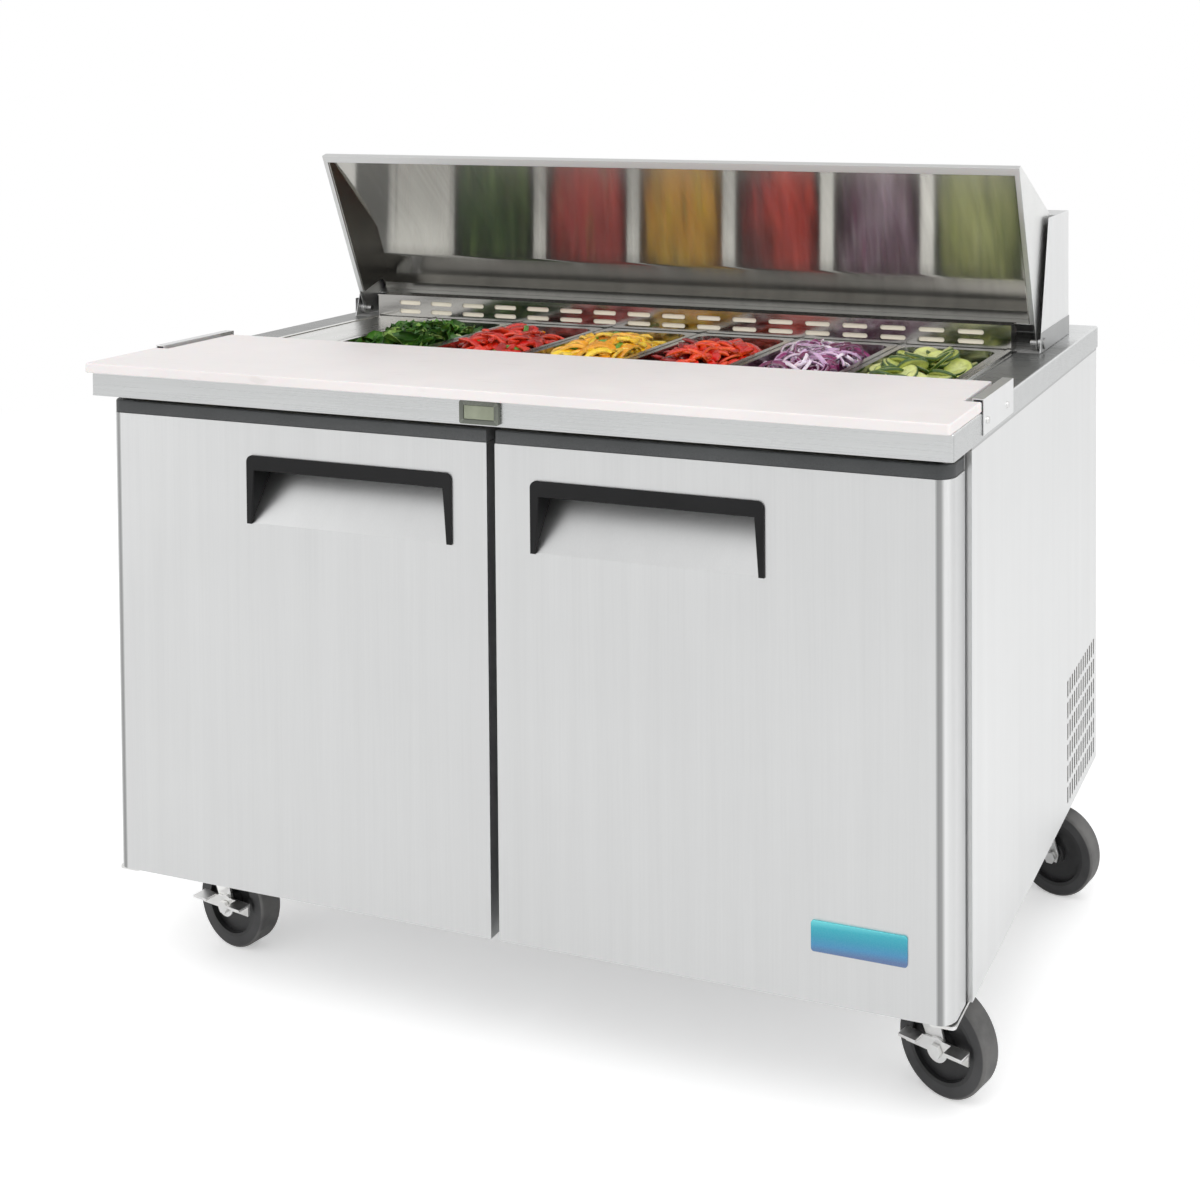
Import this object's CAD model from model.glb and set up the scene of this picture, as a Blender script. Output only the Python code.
# Looks for the sandwich prep table: materials, pan contents, small trim pieces, studio and camera.
import math
import random

import bpy
import numpy as np
from mathutils import Matrix, Vector


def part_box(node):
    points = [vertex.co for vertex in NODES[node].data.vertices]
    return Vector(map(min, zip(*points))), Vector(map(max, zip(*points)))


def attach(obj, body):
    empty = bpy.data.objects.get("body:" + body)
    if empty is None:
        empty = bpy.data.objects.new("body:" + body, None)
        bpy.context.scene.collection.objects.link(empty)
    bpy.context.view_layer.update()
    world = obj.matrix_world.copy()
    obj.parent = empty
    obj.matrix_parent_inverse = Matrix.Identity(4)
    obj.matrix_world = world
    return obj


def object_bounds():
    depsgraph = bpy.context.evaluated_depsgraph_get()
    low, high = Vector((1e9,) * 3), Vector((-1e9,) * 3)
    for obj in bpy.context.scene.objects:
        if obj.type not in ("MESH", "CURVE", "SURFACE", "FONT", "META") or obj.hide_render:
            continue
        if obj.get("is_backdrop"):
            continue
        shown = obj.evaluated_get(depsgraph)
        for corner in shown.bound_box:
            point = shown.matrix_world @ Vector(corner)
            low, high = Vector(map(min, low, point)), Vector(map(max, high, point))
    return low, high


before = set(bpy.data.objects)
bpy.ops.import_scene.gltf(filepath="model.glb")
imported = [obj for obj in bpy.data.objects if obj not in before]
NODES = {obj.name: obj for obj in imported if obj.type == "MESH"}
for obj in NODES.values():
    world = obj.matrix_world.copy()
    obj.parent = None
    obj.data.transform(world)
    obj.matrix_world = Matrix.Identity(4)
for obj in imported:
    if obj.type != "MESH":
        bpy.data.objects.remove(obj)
CAD_LO, CAD_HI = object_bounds()
FLOOR_Z = CAD_LO.z
SCN = bpy.context.scene


# ----------------------------------------------------------------- helpers
def lin(r, g, b):
    """sRGB 0-255 to linear."""
    out = []
    for v in (r, g, b):
        v = v / 255.0
        out.append(v / 12.92 if v <= 0.04045 else ((v + 0.055) / 1.055) ** 2.4)
    return tuple(out)


class Mat:
    """A small builder for node materials in object space."""

    def __init__(self, name):
        self.m = bpy.data.materials.new(name)
        self.m.use_nodes = True
        self.t = self.m.node_tree
        self.t.nodes.clear()
        self.out = self.t.nodes.new("ShaderNodeOutputMaterial")
        self.b = self.t.nodes.new("ShaderNodeBsdfPrincipled")
        self.t.links.new(self.b.outputs[0], self.out.inputs[0])
        self.tc = self.t.nodes.new("ShaderNodeTexCoord")

    def n(self, kind, **kw):
        o = self.t.nodes.new("ShaderNode" + kind)
        for k, v in kw.items():
            setattr(o, k, v)
        return o

    def link(self, a, b):
        self.t.links.new(a, b)
        return b

    def mapping(self, scale=(1, 1, 1), loc=(0, 0, 0), rot=(0, 0, 0)):
        m = self.n("Mapping")
        m.inputs["Scale"].default_value = scale
        m.inputs["Location"].default_value = loc
        m.inputs["Rotation"].default_value = rot
        self.link(self.tc.outputs["Object"], m.inputs["Vector"])
        return m.outputs[0]

    def noise(self, scale=(1, 1, 1), size=1.0, detail=4.0, rough=0.55, loc=(0, 0, 0), distortion=0.0):
        o = self.n("TexNoise")
        self.link(self.mapping(scale, loc), o.inputs["Vector"])
        o.inputs["Scale"].default_value = size
        o.inputs["Detail"].default_value = detail
        o.inputs["Roughness"].default_value = rough
        o.inputs["Distortion"].default_value = distortion
        return o.outputs[0]

    def voronoi(self, size=30.0, scale=(1, 1, 1), feature="F1", out="Distance"):
        o = self.n("TexVoronoi", feature=feature)
        self.link(self.mapping(scale), o.inputs["Vector"])
        o.inputs["Scale"].default_value = size
        return o.outputs[out]

    def range(self, v, a0, a1, b0, b1, clamp=True):
        o = self.n("MapRange", clamp=clamp)
        self.link(v, o.inputs[0])
        for i, x in enumerate((a0, a1, b0, b1)):
            o.inputs[i + 1].default_value = x
        return o.outputs[0]

    def math(self, op, a, b=None, c=None, clamp=False):
        o = self.n("Math", operation=op, use_clamp=clamp)
        for i, x in enumerate((a, b, c)):
            if x is None:
                continue
            if isinstance(x, (int, float)):
                o.inputs[i].default_value = x
            else:
                self.link(x, o.inputs[i])
        return o.outputs[0]

    def mix(self, fac, a, b, blend="MIX"):
        o = self.n("Mix", data_type="RGBA", blend_type=blend)
        for i, x in ((0, fac), (6, a), (7, b)):
            if isinstance(x, (int, float)):
                o.inputs[i].default_value = x
            elif isinstance(x, tuple):
                o.inputs[i].default_value = (*x, 1.0)
            else:
                self.link(x, o.inputs[i])
        return o.outputs[2]

    def ramp(self, v, stops):
        o = self.n("ValToRGB")
        e = o.color_ramp.elements
        while len(e) < len(stops):
            e.new(0.5)
        for el, (p, c) in zip(e, stops):
            el.position = p
            el.color = (*c, 1.0)
        self.link(v, o.inputs[0])
        return o.outputs[0]

    def bump(self, height, strength=0.2, dist=0.001, prev=None):
        o = self.n("Bump")
        o.inputs["Strength"].default_value = strength
        o.inputs["Distance"].default_value = dist
        self.link(height, o.inputs["Height"])
        if prev is not None:
            self.link(prev, o.inputs["Normal"])
        return o.outputs[0]

    def set(self, **kw):
        names = {"color": "Base Color", "metal": "Metallic", "rough": "Roughness", "normal": "Normal",
                 "coat": "Coat Weight", "coat_rough": "Coat Roughness", "aniso": "Anisotropic",
                 "aniso_rot": "Anisotropic Rotation", "tangent": "Tangent", "spec": "Specular IOR Level",
                 "sss": "Subsurface Weight", "sss_scale": "Subsurface Scale", "sheen": "Sheen Weight",
                 "emit": "Emission Color", "emit_s": "Emission Strength", "trans": "Transmission Weight",
                 "sss_rad": "Subsurface Radius", "alpha": "Alpha"}
        for k, v in kw.items():
            s = self.b.inputs[names[k]]
            if isinstance(v, (int, float)):
                s.default_value = v
            elif isinstance(v, tuple):
                s.default_value = (*v, 1.0) if len(s.default_value) == 4 and len(v) == 3 else v
            else:
                self.link(v, s)
        return self

    def vec(self, x, y, z):
        o = self.n("CombineXYZ")
        for i, v in enumerate((x, y, z)):
            if isinstance(v, (int, float)):
                o.inputs[i].default_value = v
            else:
                self.link(v, o.inputs[i])
        return o.outputs[0]

    def dot(self, v, w):
        o = self.n("VectorMath", operation="DOT_PRODUCT")
        self.link(v, o.inputs[0])
        o.inputs[1].default_value = w
        return o.outputs["Value"]

    def xyz(self):
        o = self.n("SeparateXYZ")
        self.link(self.tc.outputs["Object"], o.inputs[0])
        return o.outputs


def brushed(name, color, rough, grain, streak=0.03, cloud=0.03, aniso=0.45, bump=0.05, tangent=(0, 0, 1), metal=1.0):
    """Brushed sheet metal: fine lines, faint smudges, uneven polish. grain is the noise scale per axis."""
    m = Mat(name)
    fine = m.noise(grain, 1.0, 3.0, 0.6)
    coarse = m.noise(tuple(g / 9.0 for g in grain), 1.0, 2.0, 0.5, loc=(3, 7, 1))
    smudge = m.noise((2.2, 2.2, 2.2), 1.0, 3.0, 0.6, loc=(1.3, 0.4, 2.2))
    shade = m.math("ADD", m.range(fine, 0.25, 0.75, -streak, streak), m.range(smudge, 0.3, 0.7, -cloud, cloud))
    shade = m.math("ADD", shade, m.range(coarse, 0.3, 0.7, -streak * 0.6, streak * 0.6))
    scale = m.math("ADD", shade, 1.0)
    vm = m.n("VectorMath", operation="SCALE")
    vm.inputs[0].default_value = color
    m.link(scale, vm.inputs["Scale"])
    r = m.math("ADD", m.range(fine, 0.2, 0.8, rough - 0.05, rough + 0.07), m.range(smudge, 0.3, 0.75, -0.02, 0.05))
    nrm = m.bump(fine, bump, 0.0004)
    m.set(metal=metal, rough=r, normal=nrm, aniso=aniso, tangent=m.vec(*tangent))
    m.link(vm.outputs[0], m.b.inputs["Base Color"])
    return m


def moulded(name, color, rough, tex=900.0, bump=0.25, var=0.12, coat=0.0, spec=0.45, wear=None):
    """Moulded plastic or rubber with a fine leathered grain and slight shade variation."""
    m = Mat(name)
    grain = m.noise((1, 1, 1), tex, 3.0, 0.6)
    cell = m.voronoi(tex * 0.7)
    cloud = m.noise((1, 1, 1), 7.0, 3.0, 0.6)
    h = m.math("ADD", grain, m.math("MULTIPLY", cell, 0.5))
    dark = tuple(c * (1 - var) for c in color)
    light = tuple(min(1, c * (1 + var) + 0.004) for c in color)
    col = m.mix(m.range(cloud, 0.3, 0.7, 0, 1), dark, light)
    if wear:
        geo = m.n("NewGeometry")
        edge = m.math("MULTIPLY", m.range(geo.outputs["Pointiness"], 0.52, 0.6, 0, 1), m.range(grain, 0.4, 0.6, 0.2, 1))
        col = m.mix(m.math("MULTIPLY", edge, 0.6), col, wear)
    m.set(color=col, rough=m.range(cloud, 0.3, 0.7, rough - 0.05, rough + 0.07), spec=spec, coat=coat,
          normal=m.bump(h, bump, 0.0003))
    return m


F, CX, CY, YAW, PITCH, ROLL = 1542.4624, 950.1917, 111.2939, 0.30757706, 0.02650914, -0.00189410
CAM = (1.1269396, -2.0106549, 1.0869444)
c, s = math.cos(YAW), math.sin(YAW)
right, fwd, up = Vector((c, s, 0)), Vector((-s, c, 0)), Vector((0, 0, 1))
f2 = fwd * math.cos(PITCH) - up * math.sin(PITCH)
u2 = up * math.cos(PITCH) + fwd * math.sin(PITCH)
r3 = right * math.cos(ROLL) + u2 * math.sin(ROLL)
u3 = u2 * math.cos(ROLL) - right * math.sin(ROLL)

# the lid liner's dishing: heights it spans, where it fades in, and the viewpoint it is worked out for
EYE = CAM
LIN_Z0, LIN_Z1 = 0.78, 0.955
LIN_B0, LIN_B1 = 0.777, 0.782
# ---------------------------------------------------------------- materials
M = {}
# doors and cabinet skins: brushed upright sheet, light grey
M["door_steel"] = brushed("door_steel", (0.70, 0.705, 0.705), 0.36, (420, 420, 6), 0.022, 0.022, 0.5)
M["panel_steel"] = brushed("panel_steel", (0.87, 0.875, 0.875), 0.38, (420, 420, 6), 0.02, 0.02, 0.45)
M["top_steel"] = brushed("top_steel", (0.665, 0.675, 0.675), 0.26, (5, 420, 420), 0.04, 0.03, 0.4, tangent=(1, 0, 0))
def tint(m, factor):
    """Scale a material's base colour by a socket."""
    vm = m.n("VectorMath", operation="SCALE")
    m.link(m.b.inputs["Base Color"].links[0].from_socket, vm.inputs[0])
    m.link(factor, vm.inputs["Scale"])
    m.link(vm.outputs[0], m.b.inputs["Base Color"])


def normal_of(m):
    geo = m.n("NewGeometry")
    back = m.n("VectorTransform", vector_type="NORMAL", convert_from="WORLD", convert_to="OBJECT")
    m.link(geo.outputs["Normal"], back.inputs[0])
    ns = m.n("SeparateXYZ")
    m.link(back.outputs[0], ns.inputs[0])
    return ns.outputs


def face_on(m, edge=0.36, full=0.85, level=0.74, ends=False):
    """Polished sheet looks a little duller seen square on than along its surface."""
    geo = m.n("NewGeometry")
    dn = m.n("VectorMath", operation="DOT_PRODUCT")
    m.link(geo.outputs["Normal"], dn.inputs[0])
    m.link(geo.outputs["Incoming"], dn.inputs[1])
    drop = m.range(dn.outputs["Value"], edge, full, 0.0, 1.0 - level)
    if ends:
        drop = m.math("MULTIPLY", drop, m.range(m.math("ABSOLUTE", normal_of(m)[0]), 0.6, 0.9, 0, 1))
    tint(m, m.math("SUBTRACT", 1.0, drop))


# the rolled outer corner of a door goes dark, then bright, as it turns away
m = M["door_steel"]
nx = m.math("ABSOLUTE", normal_of(m)[0])
turn = m.ramp(nx, [(0.0, (0.92,) * 3), (0.05, (0.92,) * 3), (0.14, (0.40,) * 3), (0.34, (0.46,) * 3), (0.52, (1.02,) * 3), (1.0, (1.02,) * 3)])
tint(m, m.math("MULTIPLY", turn, 1.087))
face_on(m, level=0.80, ends=True)
M["housing_steel"] = brushed("housing_steel", (0.90, 0.905, 0.905), 0.36, (420, 420, 6), 0.02, 0.02, 0.4)
# sheet facing the back, the top or the left is duller than the faces polished for the front
m = M["housing_steel"]
nrm = normal_of(m)
away_side = m.math("MAXIMUM", m.range(nrm[1], 0.4, 0.7, 0, 1), m.math("MAXIMUM", m.range(nrm[0], -0.4, -0.7, 0, 1), m.range(nrm[2], 0.5, 0.8, 0, 0.8)))
tint(m, m.range(away_side, 0, 1, 1.0, 0.74))
face_on(m)
m = M["panel_steel"]
face_on(m)
tint(m, m.range(normal_of(m)[0], -0.4, -0.7, 1.0, 0.90))
# seam of sealant where the worktop sits on the side panels
m = M["panel_steel"]
tint(m, m.range(m.xyz()[2], 0.6445, 0.6452, 1.0, 0.66))
# the worktop's upper face is worn duller and darker than its edges
m = brushed("worktop_steel", (0.665, 0.675, 0.675), 0.26, (5, 420, 420), 0.04, 0.03, 0.4, tangent=(1, 0, 0))
geo = m.n("NewGeometry")
zs = m.n("SeparateXYZ")
m.link(geo.outputs["Normal"], zs.inputs[0])
wp = m.xyz()
behind = m.math("MULTIPLY", m.range(wp[1], 0.17, 0.25, 0, 1), m.range(m.math("ABSOLUTE", wp[0]), 0.583, 0.586, 0, 1))
behind = m.math("MAXIMUM", behind, m.math("MAXIMUM", m.range(wp[1], 0.292, 0.296, 0, 1), m.range(wp[1], -0.152, -0.144, 1, 0)))
up = m.math("MULTIPLY", m.range(zs.outputs[2], 0.75, 0.95, 0, 1), m.range(behind, 0, 1, 1, 0))
base = m.b.inputs["Base Color"].links[0].from_socket
scuff = m.noise((14, 14, 14), 1.0, 5.0, 0.6)
shade_in = m.math("MULTIPLY", m.range(wp[1], 0.115, 0.125, 0, 1), m.range(m.math("ABSOLUTE", wp[0]), 0.583, 0.586, 1, 0))
m.set(color=m.mix(up, base, m.mix(shade_in, m.mix(m.range(scuff, 0.3, 0.7, 0, 1), (0.150, 0.153, 0.150), (0.185, 0.188, 0.184)), (0.62, 0.62, 0.61))),
      metal=m.range(up, 0, 1, 1.0, 0.35), spec=0.25)
face_on(m, level=0.78, ends=True)
M["worktop_steel"] = m
M["lid_steel"] = brushed("lid_steel", (0.94, 0.945, 0.935), 0.34, (5, 420, 420), 0.03, 0.03, 0.4, tangent=(1, 0, 0))
m = M["lid_steel"]
nrm = normal_of(m)
tint(m, m.range(m.math("MAXIMUM", nrm[1], m.math("MULTIPLY", nrm[0], -1.0)), 0.2, 0.5, 1.0, 0.66))
tint(m, m.range(nrm[1], -0.34, -0.25, 0.74, 1.0))
face_on(m, 0.4, 0.95, 0.86)
face_on(m, level=0.80, ends=True)
M["pin_steel"] = brushed("pin_steel", (0.42, 0.42, 0.42), 0.32, (200, 200, 200), 0.04, 0.04, 0.0)
M["well_steel"] = brushed("well_steel", (0.47, 0.475, 0.47), 0.26, (240, 240, 12), 0.05, 0.05, 0.2)
M["pan_steel"] = brushed("pan_steel", (0.52, 0.52, 0.505), 0.18, (60, 60, 260), 0.012, 0.03, 0.0, 0.0)
M["trim_steel"] = brushed("trim_steel", (0.64, 0.64, 0.62), 0.26, (60, 8, 60), 0.012, 0.02, 0.0, 0.0)
M["duct_steel"] = brushed("duct_steel", (0.46, 0.45, 0.43), 0.13, (6, 300, 300), 0.012, 0.03, 0.0, 0.01)

# lid liner: bright rolled sheet that smears what it reflects up and down. The sheet is slightly dished, so the shading
# normal leans with height and shows the pans over most of the lid; the end caps keep their own.
LLO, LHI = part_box("lid_liner")
mm = Mat("mirror_steel")
pos = mm.xyz()
geo = mm.n("NewGeometry")
gn = mm.n("VectorTransform", vector_type="NORMAL", convert_from="WORLD", convert_to="OBJECT")
mm.link(geo.outputs["Normal"], gn.inputs[0])
gs = mm.n("SeparateXYZ"); mm.link(gn.outputs[0], gs.inputs[0])
endcap = mm.range(mm.math("ABSOLUTE", gs.outputs[0]), 0.5, 0.7, 0, 1)
hgt = mm.range(pos[2], LIN_Z0, LIN_Z1, 0, 1)


def vmath(op, a, b=None):
    o = mm.n("VectorMath", operation=op)
    for i, x in enumerate((a, b)):
        if x is None:
            continue
        if isinstance(x, tuple):
            o.inputs[i].default_value = x
        else:
            mm.link(x, o.inputs[i])
    return o.outputs[0]


away = vmath("SUBTRACT", mm.tc.outputs["Object"], EYE)
seen = vmath("NORMALIZE", away)
across = mm.math("DIVIDE", mm.dot(away, tuple(r3)), mm.dot(away, tuple(f2)))
aim_x = mm.math("ADD", mm.math("MULTIPLY", mm.math("ADD", mm.math("MULTIPLY", across, -0.49511), 2.45553), across), 0.41162)
aim = mm.vec(aim_x, mm.math("ADD", mm.math("MULTIPLY", hgt, -0.165), 0.055), 0.690)
back_ray = vmath("NORMALIZE", vmath("SUBTRACT", aim, mm.tc.outputs["Object"]))
lean = vmath("NORMALIZE", vmath("SUBTRACT", back_ray, seen))
wl = mm.n("VectorTransform", vector_type="NORMAL", convert_from="OBJECT", convert_to="WORLD")
mm.link(lean, wl.inputs[0])
streak = mm.noise((170, 3, 3), 1.0, 3.0, 0.6)
streak2 = mm.noise((28, 1, 1), 1.0, 2.0, 0.5, loc=(5, 1, 2))
smudge = mm.noise((3, 3, 3), 1.0, 3.0, 0.6, loc=(2, 5, 1))
nm = mm.n("Mix", data_type="VECTOR")
usetrue = mm.math("MAXIMUM", endcap, mm.range(pos[2], LIN_B0, LIN_B1, 1, 0))
mm.link(usetrue, nm.inputs[0]); mm.link(wl.outputs[0], nm.inputs[4]); mm.link(geo.outputs["Normal"], nm.inputs[5])
bp = mm.n("Bump"); bp.inputs["Strength"].default_value = 0.03; bp.inputs["Distance"].default_value = 0.0004
mm.link(streak, bp.inputs["Height"]); mm.link(nm.outputs[1], bp.inputs["Normal"])
gl = mm.n("BsdfAnisotropic")
gl.distribution = "GGX"
v = mm.math("ADD", mm.range(streak, 0.25, 0.75, 0.50, 0.59), mm.math("ADD", mm.range(streak2, 0.3, 0.7, -0.03, 0.03), mm.range(smudge, 0.3, 0.7, -0.02, 0.02)))
v = mm.math("MULTIPLY", v, mm.range(endcap, 0, 1, 1.0, 0.42))
v = mm.math("MULTIPLY", v, mm.range(pos[2], 0.774, 0.800, 0.60, 1.0))
mm.link(mm.vec(v, mm.math("MULTIPLY", v, 0.98), mm.math("MULTIPLY", v, 0.92)), gl.inputs["Color"])
mm.link(mm.range(smudge, 0.3, 0.7, 0.12, 0.16), gl.inputs["Roughness"])
gl.inputs["Anisotropy"].default_value = 0.72
mm.link(bp.outputs[0], gl.inputs["Normal"])
mm.link(mm.vec(1, 0, 0), gl.inputs["Tangent"])
df = mm.n("BsdfDiffuse"); df.inputs["Color"].default_value = (0.32, 0.31, 0.29, 1)
ms = mm.n("MixShader"); ms.inputs[0].default_value = 0.04
mm.link(gl.outputs[0], ms.inputs[1]); mm.link(df.outputs[0], ms.inputs[2])
mm.link(ms.outputs[0], mm.out.inputs[0])
M["mirror_steel"] = mm

# galvanised sheet with soft spangle
m = Mat("galvanised")
sp = m.voronoi(75.0, out="Color")
sepc = m.n("SeparateColor"); m.link(sp, sepc.inputs[0])
cloud = m.noise((1, 1, 1), 9.0, 3.0)
v = m.math("ADD", m.range(sepc.outputs[0], 0, 1, 0.40, 0.52), m.range(cloud, 0.3, 0.7, -0.04, 0.04))
m.set(metal=1.0, rough=m.range(sepc.outputs[1], 0, 1, 0.34, 0.52), normal=m.bump(m.noise((1, 1, 1), 300.0), 0.08, 0.0004))
m.link(m.vec(v, m.math("MULTIPLY", v, 1.01), m.math("MULTIPLY", v, 1.02)), m.b.inputs["Base Color"])
M["galvanised"] = m

# stucco-embossed aluminium inside the cabinet
m = Mat("aluminium_liner")
e = m.voronoi(190.0, feature="SMOOTH_F1")
cloud = m.noise((1, 1, 1), 4.0, 3.0)
m.set(color=m.mix(m.range(cloud, 0.3, 0.7, 0, 1), (0.68, 0.69, 0.70), (0.80, 0.81, 0.82)), metal=0.9,
      rough=m.range(cloud, 0.3, 0.7, 0.34, 0.44), normal=m.bump(e, 0.45, 0.0012))
M["aluminium_liner"] = m

# zinc-plated castings and pressings, with a faint yellowish passivation
m = Mat("zinc")
cloud = m.noise((1, 1, 1), 45.0, 4.0)
fine = m.noise((1, 1, 1), 700.0, 3.0)
geo = m.n("NewGeometry")
edge = m.range(geo.outputs["Pointiness"], 0.5, 0.58, 0, 1)
col = m.mix(m.range(cloud, 0.35, 0.65, 0, 1), (0.66, 0.655, 0.63), (0.80, 0.80, 0.79))
col = m.mix(m.math("MULTIPLY", edge, 0.5), col, (0.92, 0.92, 0.92))
m.set(color=col, metal=1.0, rough=m.range(cloud, 0.3, 0.7, 0.26, 0.42), normal=m.bump(fine, 0.12, 0.0004))
M["zinc"] = m

# polyurethane foam, seen only where a piece is taken off
m = Mat("foam")
cell = m.voronoi(420.0)
cloud = m.noise((1, 1, 1), 12.0)
m.set(color=m.mix(m.range(cloud, 0.3, 0.7, 0, 1), lin(214, 190, 132), lin(233, 214, 163)), rough=0.9,
      normal=m.bump(m.math("ADD", cell, cloud), 0.6, 0.0015))
M["foam"] = m

M["door_inner"] = moulded("door_inner", lin(224, 226, 226), 0.42, 600.0, 0.12, 0.03)
M["dark_plastic"] = moulded("dark_plastic", lin(68, 70, 71), 0.5, 1100.0, 0.2, 0.16, spec=0.3, wear=lin(130, 130, 130))
M["handle_plastic"] = moulded("handle_plastic", lin(22, 22, 23), 0.52, 900.0, 0.25, 0.14, spec=0.2, wear=lin(66, 66, 66))
M["gasket_rubber"] = moulded("gasket_rubber", lin(26, 26, 27), 0.62, 700.0, 0.25, 0.12)
M["fan_plastic"] = moulded("fan_plastic", lin(34, 35, 37), 0.42, 500.0, 0.15, 0.1)
M["compressor_black"] = moulded("compressor_black", lin(22, 22, 23), 0.34, 260.0, 0.25, 0.2, coat=0.3, wear=lin(80, 80, 82))
M["cord_rubber"] = moulded("cord_rubber", lin(24, 24, 25), 0.55, 800.0, 0.2, 0.1)

# cutting board: white polyethylene, planed face with faint knife marks and stains
m = Mat("board_plastic")
grain = m.noise((1, 1, 1), 800.0, 3.0)
cloud = m.noise((1, 1, 1), 3.2, 4.0, 0.6)
marks = m.n("TexNoise")
m.link(m.mapping((14, 420, 60), rot=(0, 0, 0.35)), marks.inputs["Vector"])
marks.inputs["Scale"].default_value = 1.0
marks.inputs["Detail"].default_value = 2.0
cut = m.range(marks.outputs[0], 0.66, 0.74, 0, 1)
marks2 = m.n("TexNoise")
m.link(m.mapping((16, 380, 60), rot=(0, 0, -0.5), loc=(4, 2, 1)), marks2.inputs["Vector"])
marks2.inputs["Scale"].default_value = 1.0
cut = m.math("MAXIMUM", cut, m.range(marks2.outputs[0], 0.67, 0.75, 0, 1))
col = m.mix(m.range(cloud, 0.35, 0.65, 0, 1), lin(231, 226, 225), lin(238, 233, 232))
col = m.mix(m.math("MULTIPLY", cut, 0.25), col, lin(205, 199, 194))
h = m.math("SUBTRACT", m.math("MULTIPLY", grain, 0.25), cut)
m.set(color=col, rough=m.range(cloud, 0.3, 0.7, 0.42, 0.55), spec=0.4, sss=0.12, sss_scale=0.004,
      normal=m.bump(h, 0.22, 0.0003))
M["board_plastic"] = m

# coil: fine fins on tubes
m = Mat("coil")
x = m.xyz()
fin = m.math("SINE", m.math("MULTIPLY", x[0], 2200.0))
cloud = m.noise((1, 1, 1), 30.0)
col = m.mix(m.range(fin, -0.3, 0.6, 0, 1), (0.10, 0.10, 0.10), (0.62, 0.62, 0.61))
m.set(color=m.mix(m.range(cloud, 0.3, 0.7, 0, 0.35), col, (0.30, 0.28, 0.25)), metal=0.9, rough=0.4,
      normal=m.bump(fin, 0.5, 0.001))
M["coil"] = m

m = Mat("copper")
cloud = m.noise((1, 1, 1), 60.0, 4.0)
m.set(color=m.mix(m.range(cloud, 0.35, 0.65, 0, 1), (0.62, 0.28, 0.14), (0.83, 0.44, 0.26)), metal=1.0,
      rough=m.range(cloud, 0.3, 0.7, 0.22, 0.45), normal=m.bump(cloud, 0.1, 0.0005))
M["copper"] = m

# nameplate without lettering: teal to blue enamel under gloss
blo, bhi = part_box("door_badge")
m = Mat("badge")
x = m.xyz()
t = m.range(x[2], blo.z, bhi.z, 0, 1)
t = m.math("ADD", t, m.math("MULTIPLY", m.range(x[0], blo.x, bhi.x, 0, 1), -0.12))
col = m.ramp(t, [(0.0, lin(84, 104, 152)), (0.22, lin(56, 132, 180)), (0.5, lin(22, 146, 174)), (0.78, lin(30, 166, 184)),
                 (1.0, lin(104, 214, 220))])
flake = m.noise((1, 1, 1), 900.0, 2.0)
m.set(color=m.mix(m.range(flake, 0.35, 0.65, 0, 0.10), col, lin(150, 220, 225)), rough=0.24, coat=0.6, coat_rough=0.08,
      metal=0.25, normal=m.bump(m.noise((1, 1, 1), 120.0), 0.03, 0.0004))
M["badge"] = m

M["display"] = moulded("display", lin(88, 92, 84), 0.36, 1000.0, 0.12, 0.12, wear=lin(150, 154, 142))

m = Mat("display_window")
x = m.xyz()
cloud = m.noise((1, 1, 1), 40.0, 3.0)
m.set(color=m.mix(m.range(cloud, 0.3, 0.7, 0, 1), lin(128, 134, 112), lin(146, 152, 130)), rough=0.16, coat=0.8,
      coat_rough=0.04, spec=0.5, normal=m.bump(cloud, 0.02, 0.0004))
M["display_window"] = m

m = brushed("plinth_band", (0.47, 0.475, 0.475), 0.42, (420, 420, 8), 0.03, 0.04, 0.3)
M["plinth_band"] = m


def wheel_material(name, centre):
    """Caster wheel: grey rubber tread on a black hub, dusted where it rolls. Distance is taken from the wheel's axle."""
    m = Mat(name)
    sub = m.n("VectorMath", operation="SUBTRACT")
    m.link(m.tc.outputs["Object"], sub.inputs[0])
    sub.inputs[1].default_value = centre
    length = m.n("VectorMath", operation="LENGTH")
    m.link(sub.outputs[0], length.inputs[0])
    r = length.outputs["Value"]
    tread = m.range(r, 0.0500, 0.0506, 0, 1)
    roll = m.range(r, 0.0618, 0.0632, 0, 1)
    cloud = m.noise((1, 1, 1), 30.0, 4.0)
    grain = m.noise((1, 1, 1), 900.0, 3.0)
    hub = m.mix(m.range(cloud, 0.3, 0.7, 0, 1), lin(34, 34, 35), lin(46, 46, 47))
    rub = m.mix(m.range(cloud, 0.3, 0.7, 0, 1), lin(52, 52, 53), lin(66, 66, 67))
    rub = m.mix(m.math("MULTIPLY", roll, m.range(cloud, 0.3, 0.7, 0.3, 0.75)), rub, lin(118, 117, 115))
    m.set(color=m.mix(tread, hub, rub), rough=m.math("ADD", m.range(tread, 0, 1, 0.38, 0.56), m.range(cloud, 0.3, 0.7, -0.03, 0.05)),
          normal=m.bump(grain, 0.25, 0.0003))
    return m


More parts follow.
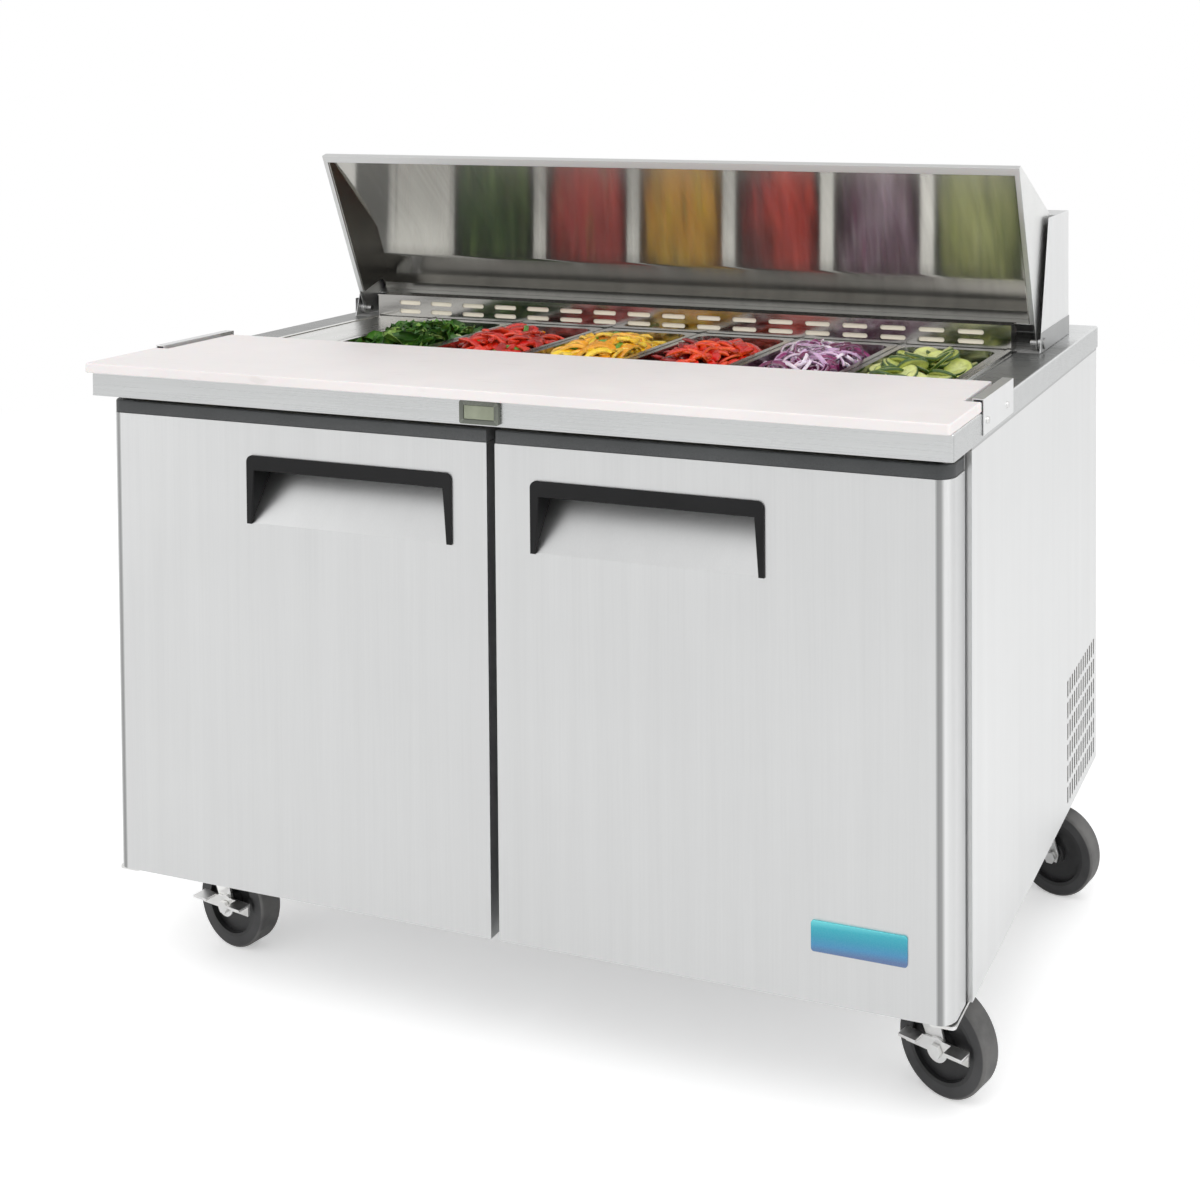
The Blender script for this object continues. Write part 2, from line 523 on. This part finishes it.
# which finish each CAD node takes; anything not named here takes its record slot
NODE_MAT = {
    "door_left_skin": "door_steel", "door_right_skin": "door_steel",
    "side_panel_left": "panel_steel", "side_panel_right": "panel_steel",
    "front_frame": "door_steel", "worktop": "worktop_steel", "divider_bars": "trim_steel", "air_duct": "duct_steel",
    "board_brackets": "housing_steel", "rear_housing": "housing_steel", "lid_shell": "lid_steel",
    "lid_liner": "mirror_steel", "lid_hinge_pins": "pin_steel",
}
for name, o in NODES.items():
    slot_names = [s.material.name.split(".")[0] if s.material else "" for s in o.material_slots]
    want = NODE_MAT.get(name) or (slot_names[0] if slot_names else "")
    if name.startswith("caster_wheel"):
        lo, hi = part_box(name)
        mat = wheel_material("wheel_rubber_" + name[-2:], (lo + hi) / 2).m
        for s in o.material_slots:
            s.material = mat
        continue
    if want == "stainless":
        want = "door_steel"
    if want not in M:
        print("NOMAT", name, slot_names)
        want = "galvanised"
    if not o.material_slots:
        o.data.materials.append(M[want].m)
    for i, s in enumerate(o.material_slots):
        sn = slot_names[i] if name not in NODE_MAT and slot_names[i] in M else want
        s.material = M[sn].m


# ------------------------------------------------------------ edge rounding
def round_edges(name, width, segments=2, angle=30):
    o = NODES[name]
    w = o.modifiers.new("weld", "WELD")
    w.merge_threshold = 0.00002
    b = o.modifiers.new("edge", "BEVEL")
    b.width = width
    b.segments = segments
    b.limit_method = "ANGLE"
    b.angle_limit = math.radians(angle)
    b.harden_normals = False
    b.use_clamp_overlap = True
    n = o.modifiers.new("normals", "WEIGHTED_NORMAL")
    n.keep_sharp = False
    n.weight = 60


for nm, wd in (("cutting_board", 0.0028), ("lid_shell", 0.0006), ("rear_housing", 0.0005), ("board_brackets", 0.0005),
               ("door_left_handle", 0.0009), ("door_right_handle", 0.0009), ("door_left_cap", 0.0012), ("door_right_cap", 0.0012),
               ("temperature_display", 0.0006), ("door_badge", 0.0006)):
    round_edges(nm, wd)


# ------------------------------------------------------------ pan contents
class Build:
    def __init__(self):
        self.v, self.f, self.c = [], [], []
        self.n = 0

    def add(self, verts, faces, cols, mat4=None):
        verts = np.asarray(verts, float)
        if mat4 is not None:
            verts = verts @ mat4[:3, :3].T + mat4[:3, 3]
        self.v.append(verts)
        self.f += [tuple(i + self.n for i in q) for q in faces]
        self.c.append(np.asarray(cols, float))
        self.n += len(verts)

    def mesh(self, name, mat, smooth=True):
        me = bpy.data.meshes.new(name)
        v = np.concatenate(self.v)
        me.from_pydata(v.tolist(), [], self.f)
        me.update()
        a = me.color_attributes.new("Col", "FLOAT_COLOR", "POINT")
        c = np.concatenate(self.c)
        a.data.foreach_set("color", np.concatenate([c, np.ones((len(c), 1))], 1).astype(np.float32).ravel())
        if smooth:
            me.polygons.foreach_set("use_smooth", np.ones(len(me.polygons), bool))
        me.materials.append(mat.m)
        o = bpy.data.objects.new(name, me)
        SCN.collection.objects.link(o)
        return o


def rot(rx, ry, rz):
    return np.array((Matrix.Rotation(rz, 4, "Z") @ Matrix.Rotation(ry, 4, "Y") @ Matrix.Rotation(rx, 4, "X")))


def place(p, r=(0, 0, 0), s=1.0):
    m = rot(*r)
    m[:3, :3] *= s
    m[:3, 3] = p
    return m


def grid_faces(nu, nv, wrap_v=False, base=0):
    f = []
    for i in range(nu - 1):
        for j in range(nv if wrap_v else nv - 1):
            j2 = (j + 1) % nv
            f.append((base + i * nv + j, base + (i + 1) * nv + j, base + (i + 1) * nv + j2, base + i * nv + j2))
    return f


def sweep(path, up, prof, col_in, col_out, taper=True):
    """Tube of a closed profile (list of (side, height)) along a path. Colour goes out (height high) to in."""
    path = np.asarray(path, float)
    n, k = len(path), len(prof)
    t = np.gradient(path, axis=0)
    t /= np.linalg.norm(t, axis=1)[:, None]
    up = np.asarray(up, float)
    if up.ndim == 1:
        up = np.tile(up, (n, 1))
    side = np.cross(up, t)
    side /= np.linalg.norm(side, axis=1)[:, None] + 1e-9
    up2 = np.cross(t, side)
    prof = np.asarray(prof, float)
    hmin, hmax = prof[:, 1].min(), prof[:, 1].max()
    v, c = [], []
    for i in range(n):
        e = 1.0
        if taper:
            x = i / (n - 1)
            e = min(1.0, 0.35 + 5 * min(x, 1 - x))
        for s, h in prof:
            v.append(path[i] + side[i] * s * e + up2[i] * h * e)
            w = (h - hmin) / (hmax - hmin)
            c.append(np.asarray(col_in) * (1 - w) + np.asarray(col_out) * w)
    f = grid_faces(n, k, True)
    v = np.array(v)
    f.append(tuple(range(k))[::-1])
    f.append(tuple(range((n - 1) * k, n * k)))
    return v, f, np.array(c)


def rrect(w, h, n=3, r=0.35):
    """Rounded profile w wide, h high, about the origin."""
    pts = []
    rr = min(w, h) * r
    for cx, cy, a0 in ((w / 2 - rr, h / 2 - rr, 0), (-w / 2 + rr, h / 2 - rr, 90), (-w / 2 + rr, -h / 2 + rr, 180), (w / 2 - rr, -h / 2 + rr, 270)):
        for i in range(n):
            a = math.radians(a0 + 90 * i / (n - 1))
            pts.append((cx + rr * math.cos(a), cy + rr * math.sin(a)))
    return pts


def leaf(rg, length, width, col, vein, rib=0.5):
    nu, nv = 9, 7
    v, c = [], []
    ph, amp = rg.uniform(0, 6.3), rg.uniform(0.05, 0.13) * length
    curl, cup = rg.uniform(-0.5, 0.9), rg.uniform(0.15, 0.6)
    for i in range(nu):
        u = i / (nu - 1)
        half = width * 0.5 * (math.sin(math.pi * min(1, 0.06 + 0.94 * u)) ** 0.65 if u < 1 else 0.02)
        for j in range(nv):
            w = 2 * j / (nv - 1) - 1
            edge = abs(w) ** 1.5
            z = cup * half * w * w + curl * length * (u - 0.45) ** 2 + amp * edge * math.sin(9 * u + ph + 3 * w)
            x = (u - 0.5) * length + 0.05 * length * math.sin(11 * u + ph) * edge
            v.append((x, w * half, z))
            k = max(0.0, 1 - abs(w) * 3.2) * rib
            k = max(k, 0.25 * (0.5 + 0.5 * math.sin(26 * u + 8 * abs(w))) * (1 - abs(w)))
            c.append(np.asarray(col) * (1 - k) + np.asarray(vein) * k)
    v = np.array(v)
    f = grid_faces(nu, nv)
    # a second skin 0.5 mm below, so the leaf is closed
    n = len(v)
    low = v - np.array((0, 0, 0.0005))
    f2 = [tuple(n + i for i in q[::-1]) for q in f]
    rim = [i for i in range(nv)] + [i * nv + nv - 1 for i in range(1, nu)] + [(nu - 1) * nv + j for j in range(nv - 2, -1, -1)] + [i * nv for i in range(nu - 2, 0, -1)]
    f3 = [(rim[i], rim[(i + 1) % len(rim)], n + rim[(i + 1) % len(rim)], n + rim[i]) for i in range(len(rim))]
    f3 = [q[::-1] for q in f3]
    return np.concatenate([v, low]), f + f2 + f3, np.concatenate([np.array(c), np.array(c) * 0.8])


def strip(rg, length, w, t, bend, col_skin, col_flesh):
    n = 9
    pts = []
    for i in range(n):
        a = (i / (n - 1) - 0.5) * bend
        if abs(bend) > 1e-3:
            R = length / bend
            pts.append((R * math.sin(a), 0.15 * length * math.sin(2 * a) * rg.uniform(0.9, 1.1), R * (math.cos(a) - math.cos(bend / 2))))
        else:
            pts.append(((i / (n - 1) - 0.5) * length, 0, 0))
    tw = rg.uniform(-0.7, 0.7)
    ups = [(0, math.sin(tw * (i / (n - 1) - 0.5)), math.cos(tw * (i / (n - 1) - 0.5))) for i in range(n)]
    return sweep(pts, ups, rrect(w, t), col_flesh, col_skin)


def ring_piece(rg, radius, height, thick, span, col_out, col_in):
    n = max(8, int(22 * span / 6.283))
    pts = []
    ov = rg.uniform(0.75, 1.0)
    for i in range(n):
        a = span * i / (n - 1)
        pts.append((radius * math.cos(a), radius * ov * math.sin(a), 0.05 * radius * math.sin(2 * a + 1)))
    pts = np.array(pts)
    # profile: side = across the ring wall, so colour must run radially
    t = np.gradient(pts, axis=0)
    t /= np.linalg.norm(t, axis=1)[:, None]
    prof = rrect(thick, height, 3, 0.45)
    v, c = [], []
    up = np.array((0, 0, 1.0))
    for i in range(n):
        out = np.cross(t[i], up)
        out /= np.linalg.norm(out)
        for s, h in prof:
            v.append(pts[i] + out * s + up * h)
            k = (s / thick + 0.5) ** 1.6
            c.append(np.asarray(col_in) * (1 - k) + np.asarray(col_out) * k)
    f = grid_faces(n, len(prof), True)
    k = len(prof)
    f.append(tuple(range(k))[::-1])
    f.append(tuple(range((n - 1) * k, n * k)))
    return np.array(v), f, np.array(c)


def slice_piece(rg, radius, thick, rim, flesh, core):
    rings = [(0.0, 0.5), (0.30, 0.5), (0.55, 0.5), (0.80, 0.52), (0.93, 0.52), (1.0, 0.30), (1.0, -0.30), (0.93, -0.52), (0.6, -0.5), (0.0, -0.5)]
    cols = [core, core, [a * 0.6 + b * 0.4 for a, b in zip(core, flesh)], flesh, [a * 0.8 for a in flesh], rim, rim, [a * 0.8 for a in flesh], flesh, core]
    n = 20
    v, c = [], []
    ov = rg.uniform(0.86, 1.0)
    warp, ph = rg.uniform(0.0, 0.10) * radius, rg.uniform(0, 6.28)
    for (r, h), col in zip(rings, cols):
        for i in range(n):
            a = 2 * math.pi * i / n
            wob = 1 + 0.02 * math.sin(3 * a + ph)
            x, y = radius * r * wob * math.cos(a), radius * r * ov * wob * math.sin(a)
            v.append((x, y, thick * h + warp * math.cos(2 * a + ph) * r * r))
            s = 1.0
            if 0.25 < r < 0.6:
                s = 1.0 - 0.16 * (0.5 + 0.5 * math.cos(6 * a + ph))
            c.append([k * s for k in col])
    return np.array(v), grid_faces(len(rings), n, True), np.array(c)


def food_material(name, rough, coat, sss, grain=500.0, bump=0.25, mottled=0.25):
    m = Mat(name)
    att = m.n("Attribute", attribute_name="Col")
    cloud = m.noise((1, 1, 1), 90.0, 4.0, 0.6)
    fine = m.noise((1, 1, 1), grain, 3.0)
    hsv = m.n("HueSaturation")
    m.link(att.outputs["Color"], hsv.inputs["Color"])
    m.link(m.range(cloud, 0.3, 0.7, 1 - mottled, 1 + mottled), hsv.inputs["Value"])
    m.link(m.range(fine, 0.3, 0.7, 0.95, 1.08), hsv.inputs["Saturation"])
    m.set(color=hsv.outputs[0], rough=m.range(cloud, 0.3, 0.7, rough - 0.08, rough + 0.1), coat=coat, coat_rough=0.12,
          sss=sss, sss_scale=0.004, sss_rad=(1.0, 0.6, 0.3), spec=0.5,
          normal=m.bump(m.math("ADD", fine, m.math("MULTIPLY", cloud, 1.5)), bump, 0.0006))
    return m


FOOD = {
    1: food_material("leafy_green", 0.42, 0.15, 0.06, 300.0, 0.35, 0.35),
    2: food_material("red_pepper", 0.28, 0.45, 0.10),
    3: food_material("yellow_pepper", 0.28, 0.40, 0.12),
    4: food_material("tomato_mix", 0.26, 0.45, 0.10),
    5: food_material("red_onion", 0.32, 0.30, 0.12),
    6: food_material("cucumber", 0.30, 0.35, 0.12, 260.0, 0.2, 0.14),
}

HY = 0.1120                      # half length of the heap inside a pan at its level


def heap_z(x, y, top, low, HX, cy=-0.010):
    """Height of the heap at x, y from the pan's centre."""
    r = (abs(x) / HX) ** 2.6 + (abs((y - cy) / HY)) ** 2.4
    return top - (top - low) * min(1.0, r)


def contents(k):
    rg = random.Random(4100 + k)
    plo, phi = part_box("pan_%d" % k)
    cx, cy, rim = (plo.x + phi.x) / 2, (plo.y + phi.y) / 2, phi.z
    HX = (phi.x - plo.x) / 2 - 0.0125
    top, low = rim + 0.007, rim - 0.026
    b = Build()
    base = {1: lin(24, 52, 16), 2: lin(120, 12, 10), 3: lin(176, 112, 10), 4: lin(98, 10, 12), 5: lin(84, 34, 66), 6: lin(104, 126, 44)}[k]
    nu, nv = 15, 23
    v, c = [], []
    for i in range(nu):
        for j in range(nv):
            x, y = (2 * i / (nu - 1) - 1) * (HX + 0.002), (2 * j / (nv - 1) - 1) * (HY + 0.002)
            # superellipse outline, so that the mound keeps off the pan's rounded corners
            z = heap_z(x, y, top, low, HX) - 0.012 + 0.003 * math.sin(x * 260 + j) * math.cos(y * 190)
            v.append((x * (1 - 0.03 * abs(y / HY) ** 4), y * (1 - 0.02 * abs(x / HX) ** 4), z))
            c.append(base)
    n = len(v)
    f = grid_faces(nu, nv)
    for x, y, z in list(v):
        v.append((x * 0.95, y * 0.97, low - 0.030))
        c.append(base)
    f += [tuple(n + i for i in q[::-1]) for q in grid_faces(nu, nv)]
    rimi = [j for j in range(nv)] + [i * nv + nv - 1 for i in range(1, nu)] + [(nu - 1) * nv + j for j in range(nv - 2, -1, -1)] + [i * nv for i in range(nu - 2, 0, -1)]
    f += [(rimi[(i + 1) % len(rimi)], rimi[i], n + rimi[i], n + rimi[(i + 1) % len(rimi)]) for i in range(len(rimi))]
    b.add(v, f, c)

    def spot(margin=0.012, lift=0.0):
        x = rg.uniform(-HX + margin, HX - margin)
        y = rg.uniform(-HY + margin, HY - margin)
        return x, y, heap_z(x, y, top, low, HX) + lift + rg.uniform(-0.006, 0.002)

    if k == 1:
        for i in range(120):
            L = rg.uniform(0.038, 0.066)
            g = rg.random()
            col = [a * (1 - g) + c2 * g for a, c2 in zip(lin(28, 74, 18), lin(78, 140, 44))]
            if rg.random() < 0.10:
                col = lin(150, 186, 96)
            x, y, z = spot(0.016, -0.004)
            b.add(*leaf(rg, L, L * rg.uniform(0.5, 0.75), col, lin(140, 178, 96)),
                  place((x, y, z), (rg.uniform(-0.8, 0.8), rg.uniform(-0.7, 0.7), rg.uniform(0, 6.28))))
        for i in range(14):
            x, y, z = spot(0.020, 0.0)
            b.add(*strip(rg, rg.uniform(0.03, 0.045), 0.004, 0.003, rg.uniform(0.2, 1.1), lin(196, 214, 150), lin(220, 232, 190)),
                  place((x, y, z), (rg.uniform(-0.6, 0.6), rg.uniform(-0.4, 0.4), rg.uniform(0, 6.28))))
    elif k in (2, 3):
        skin = {2: (lin(206, 18, 12), lin(168, 12, 10), lin(226, 44, 20)), 3: (lin(246, 190, 12), lin(236, 158, 8), lin(252, 212, 60))}[k]
        flesh = {2: lin(232, 92, 60), 3: lin(250, 222, 120)}[k]
        for i in range(110):
            x, y, z = spot(0.017, -0.003)
            b.add(*strip(rg, rg.uniform(0.036, 0.064), rg.uniform(0.009, 0.014), rg.uniform(0.004, 0.006), rg.uniform(0.4, 2.1),
                         rg.choice(skin), flesh),
                  place((x, y, z), (rg.uniform(-0.6, 0.6), rg.uniform(-0.5, 0.5), rg.uniform(0, 6.28))))
        extra = {2: [(lin(84, 140, 50), 7), (lin(240, 150, 30), 5)], 3: [(lin(96, 156, 60), 16), (lin(240, 140, 20), 6)]}[k]
        for col, cnt in extra:
            for i in range(cnt):
                x, y, z = spot(0.018, 0.001)
                if k == 3 and rg.random() < 0.7:
                    x = -abs(x)
                b.add(*strip(rg, rg.uniform(0.026, 0.042), 0.007, 0.004, rg.uniform(0.3, 1.5), col, tuple(min(1, a * 1.5) for a in col)),
                      place((x, y, z), (rg.uniform(-0.5, 0.5), rg.uniform(-0.5, 0.5), rg.uniform(0, 6.28))))
    elif k == 4:
        for i in range(105):
            x, y, z = spot(0.016, -0.002)
            deep = x < -0.012 and rg.random() < 0.75
            skin = rg.choice((lin(126, 8, 22), lin(104, 6, 18), lin(150, 12, 20))) if deep else rg.choice((lin(222, 30, 12), lin(236, 58, 18), lin(204, 20, 12)))
            fl = lin(186, 60, 54) if deep else lin(244, 120, 60)
            b.add(*strip(rg, rg.uniform(0.028, 0.054), rg.uniform(0.010, 0.017), rg.uniform(0.004, 0.007), rg.uniform(0.3, 1.6), skin, fl),
                  place((x, y, z), (rg.uniform(-0.6, 0.6), rg.uniform(-0.5, 0.5), rg.uniform(0, 6.28))))
    elif k == 5:
        for i in range(130):
            x, y, z = spot(0.022, -0.001)
            R = rg.uniform(0.010, 0.026)
            span = rg.choice((6.2, 6.2, 3.6, 2.4))
            out = rg.choice((lin(112, 26, 78), lin(138, 44, 104), lin(92, 18, 62), lin(206, 168, 204), lin(238, 224, 236)))
            inn = rg.choice((lin(246, 236, 244), lin(236, 218, 234), lin(206, 168, 202)))
            b.add(*ring_piece(rg, R, rg.uniform(0.004, 0.0075), rg.uniform(0.0022, 0.0038), span, out, inn),
                  place((x, y, z), (rg.uniform(-0.9, 0.9), rg.uniform(-0.8, 0.8), rg.uniform(0, 6.28))))
    else:
        for i in range(56):
            x, y, z = spot(0.021, 0.0)
            g = rg.random()
            flesh = tuple(a * (1 - g) + c2 * g for a, c2 in zip(lin(196, 206, 104), lin(220, 224, 150)))
            core = tuple(min(1, a * 1.08) for a in lin(214, 220, 150))
            b.add(*slice_piece(rg, rg.uniform(0.019, 0.0245), rg.uniform(0.004, 0.006), lin(52, 84, 20), flesh, core),
                  place((x, y, z), (rg.uniform(-0.65, 0.65), rg.uniform(-0.6, 0.6), rg.uniform(0, 6.28))))
    o = b.mesh("contents_%d" % k, FOOD[k])
    o.data.transform(Matrix.Translation((cx, cy, 0)))
    # keep every point inside the pan and below where the board and lid pass
    co = np.zeros(len(o.data.vertices) * 3)
    o.data.vertices.foreach_get("co", co)
    co = co.reshape(-1, 3)
    depth = np.clip((rim - co[:, 2]) / 0.150, 0, 1)
    hx = (phi.x - plo.x) / 2 - 0.0098 - 0.008 * depth + 0.007 * (co[:, 2] > rim + 0.0005)
    hy = 0.1150 - 0.008 * depth
    co[:, 0] = np.clip(co[:, 0], cx - hx, cx + hx)
    co[:, 1] = np.clip(co[:, 1], cy - hy, cy + hy)
    co[:, 2] = np.minimum(co[:, 2], np.minimum(rim + 0.017, 0.6932 + 0.399 * (co[:, 1] + 0.1373)))
    o.data.vertices.foreach_set("co", co.ravel())
    o.data.update()
    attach(o, "pan_%d_body" % k)
    return o


for k in range(1, 7):
    contents(k)


# ------------------------------------------------------------- trim pieces
def slab(name, lo, hi, mat, body, bevel=0.001, segments=3):
    """A small block with rolled edges."""
    import bmesh
    bm = bmesh.new()
    bmesh.ops.create_cube(bm, size=1.0)
    for vtx in bm.verts:
        vtx.co = Vector(((lo[i] + hi[i]) / 2 + vtx.co[i] * (hi[i] - lo[i]) for i in range(3)))
    bmesh.ops.bevel(bm, geom=bm.edges[:], offset=bevel, segments=segments, profile=0.5, affect="EDGES")
    me = bpy.data.meshes.new(name)
    bm.to_mesh(me)
    bm.free()
    me.polygons.foreach_set("use_smooth", np.ones(len(me.polygons), bool))
    me.materials.append(mat.m)
    o = bpy.data.objects.new(name, me)
    SCN.collection.objects.link(o)
    o.modifiers.new("n", "WEIGHTED_NORMAL")
    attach(o, body)
    return o


# display window in the control's recess
dlo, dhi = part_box("temperature_display")
dcx, dcz = 0.0, (dlo.z + dhi.z) / 2
slab("display_window", (dcx - 0.0216, dlo.y + 0.0006, dcz - 0.0086), (dcx + 0.0216, dlo.y + 0.0018, dcz + 0.0086), M["display_window"], "cabinet", 0.0005)

# pale louvre strips just behind the duct's slots
alo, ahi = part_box("air_duct")
M["louvre"] = moulded("louvre", lin(238, 230, 212), 0.4, 500.0, 0.08, 0.04)
for i, z in enumerate((0.694, 0.708)):
    slab("duct_louvre_%d" % (i + 1), (-0.500, 0.1237, z - 0.0045), (0.500, 0.1249, z + 0.0045), M["louvre"], "cabinet", 0.0003, 1)

# plinth band round the foot of the rear housing
hlo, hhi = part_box("rear_housing")
T, ZB = 0.0009, 0.029


def band_path(side):
    s = side
    x0, x1 = s * hhi.x, s * (hhi.x + T)
    ya, yb = 0.1205, hhi.y
    lo = (min(x0, x1), ya, hlo.z + 0.0004)
    hi = (max(x0, x1), yb, hlo.z + ZB)
    return lo, hi


for nm, s in (("left", -1), ("right", 1)):
    lo, hi = band_path(s)
    slab("housing_plinth_" + nm, lo, hi, M["plinth_band"], "cabinet", 0.0004, 2)
slab("housing_plinth_back", (-hhi.x - T, hhi.y, hlo.z + 0.0004), (hhi.x + T, hhi.y + T, hlo.z + ZB), M["plinth_band"], "cabinet", 0.0004, 2)

# ------------------------------------------------------------------- studio
import bmesh
bm = bmesh.new()
bmesh.ops.create_grid(bm, x_segments=2, y_segments=2, size=60.0)
me = bpy.data.meshes.new("floor")
bm.to_mesh(me)
bm.free()
floor = bpy.data.objects.new("floor", me)
floor.location = (0, 0, FLOOR_Z - 0.0005)
SCN.collection.objects.link(floor)
m = Mat("floor")
geo = m.n("NewGeometry")
ln = m.n("VectorMath", operation="LENGTH")
m.link(geo.outputs["Position"], ln.inputs[0])
far = m.range(ln.outputs["Value"], 1.4, 4.5, 0, 1)
cloud = m.noise((1, 1, 1), 1.5, 3.0)
m.set(color=m.mix(m.range(cloud, 0.3, 0.7, 0, 1), (0.93, 0.93, 0.93), (0.95, 0.95, 0.95)), rough=0.85, spec=0.1)
em = m.n("Emission")
em.inputs["Color"].default_value = (1, 1, 1, 1)
em.inputs["Strength"].default_value = 1.0
lp = m.n("LightPath")
ms = m.n("MixShader")
fac = m.math("MULTIPLY", far, lp.outputs["Is Camera Ray"])
m.link(fac, ms.inputs[0])
add = m.n("AddShader")
glow = m.n("Emission")
m.link(m.math("MULTIPLY", lp.outputs["Is Camera Ray"], 0.36), glow.inputs["Strength"])
m.link(m.b.outputs[0], add.inputs[0])
m.link(glow.outputs[0], add.inputs[1])
m.link(add.outputs[0], ms.inputs[1])
m.link(em.outputs[0], ms.inputs[2])
m.link(ms.outputs[0], m.out.inputs[0])
me.materials.append(m.m)
floor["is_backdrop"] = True

world = bpy.data.worlds.new("studio")
SCN.world = world
world.use_nodes = True
wt = world.node_tree
wt.nodes.clear()
wo = wt.nodes.new("ShaderNodeOutputWorld")
bg = wt.nodes.new("ShaderNodeBackground")
bgc = wt.nodes.new("ShaderNodeBackground")
bgc.inputs[0].default_value = (1, 1, 1, 1)
bgc.inputs[1].default_value = 1.0
mx = wt.nodes.new("ShaderNodeMixShader")
lpw = wt.nodes.new("ShaderNodeLightPath")
tcw = wt.nodes.new("ShaderNodeTexCoord")
sx = wt.nodes.new("ShaderNodeSeparateXYZ")
wt.links.new(tcw.outputs["Generated"], sx.inputs[0])


def wmath(op, a, b=None, clamp=False):
    o = wt.nodes.new("ShaderNodeMath")
    o.operation = op
    o.use_clamp = clamp
    for i, x in enumerate((a, b)):
        if x is None:
            continue
        if isinstance(x, (int, float)):
            o.inputs[i].default_value = x
        else:
            wt.links.new(x, o.inputs[i])
    return o.outputs[0]


def wrange(v, a0, a1, b0, b1):
    o = wt.nodes.new("ShaderNodeMapRange")
    o.interpolation_type = "SMOOTHSTEP"
    wt.links.new(v, o.inputs[0])
    for i, x in enumerate((a0, a1, b0, b1)):
        o.inputs[i + 1].default_value = x
    return o.outputs[0]


# a narrow grey flat low at the back, bright ceiling and front
ba = wrange(sx.outputs[0], -0.345, -0.300, 0, 1)
bb = wrange(sx.outputs[0], -0.262, -0.235, 1, 0)
back = wmath("MULTIPLY", wmath("MULTIPLY", ba, bb), wrange(sx.outputs[1], 0.2, 0.5, 0, 1))
low = wrange(sx.outputs[2], 0.22, 0.45, 1, 0)
dark = wmath("MULTIPLY", back, low)
top = wrange(sx.outputs[2], 0.1, 0.9, 1.0, 0.70)
level = wmath("MULTIPLY", top, wmath("SUBTRACT", 1.0, wmath("MULTIPLY", dark, 0.97)))
level = wmath("MULTIPLY", level, 1.08)
wt.links.new(level, bg.inputs["Strength"])
bg.inputs[0].default_value = (1.0, 1.0, 1.0, 1)
wt.links.new(lpw.outputs["Is Camera Ray"], mx.inputs[0])
wt.links.new(bg.outputs[0], mx.inputs[1])
wt.links.new(bgc.outputs[0], mx.inputs[2])
wt.links.new(mx.outputs[0], wo.inputs[0])


def area(name, loc, target, size, power):
    d = bpy.data.lights.new(name, "AREA")
    d.shape = "RECTANGLE"
    d.size, d.size_y = size
    d.energy = power
    o = bpy.data.objects.new(name, d)
    o.location = loc
    o.rotation_euler = (Vector(target) - Vector(loc)).to_track_quat("-Z", "Y").to_euler()
    o.visible_camera = False
    SCN.collection.objects.link(o)
    return o


area("key", (0.6, -1.6, 3.2), (0, -0.1, 0.4), (2.6, 1.6), 22)
area("side", (3.2, -0.8, 1.8), (0.4, 0, 0.3), (1.8, 1.8), 16)
area("fill", (-3.0, -1.8, 1.4), (-0.2, 0, 0.3), (1.6, 1.6), 8)

# ------------------------------------------------------------------- camera
cd = bpy.data.cameras.new("camera")
cd.sensor_width = 36.0
cd.sensor_fit = "HORIZONTAL"
cd.lens = F / 1200.0 * 36.0
cd.clip_start, cd.clip_end = 0.05, 300.0
cam = bpy.data.objects.new("camera", cd)
mw = Matrix.Identity(4)
for i in range(3):
    mw[i][0], mw[i][1], mw[i][2], mw[i][3] = r3[i], u3[i], -f2[i], CAM[i]
cam.matrix_world = mw
SCN.collection.objects.link(cam)
SCN.camera = cam
for prop, value in (("shift_x", (600.0 - CX) / 1200.0), ("shift_y", (CY - 600.0) / 1200.0)):
    setattr(cd, prop, value)
    d = cd.driver_add(prop).driver
    d.type = "SCRIPTED"
    for axis in "XYZ":
        v = d.variables.new()
        v.name = "p" + axis.lower()
        v.type = "TRANSFORMS"
        v.targets[0].id = cam
        v.targets[0].transform_type = "LOC_" + axis
        v.targets[0].transform_space = "WORLD_SPACE"
    d.expression = "%.6f if abs(px - %.6f) + abs(py - %.6f) + abs(pz - %.6f) < 0.002 else 0.0" % (value, CAM[0], CAM[1], CAM[2])

SCN.view_settings.view_transform = "Standard"
SCN.view_settings.look = "None"
SCN.view_settings.exposure = 0.0
SCN.view_settings.gamma = 1.0

lo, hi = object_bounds()
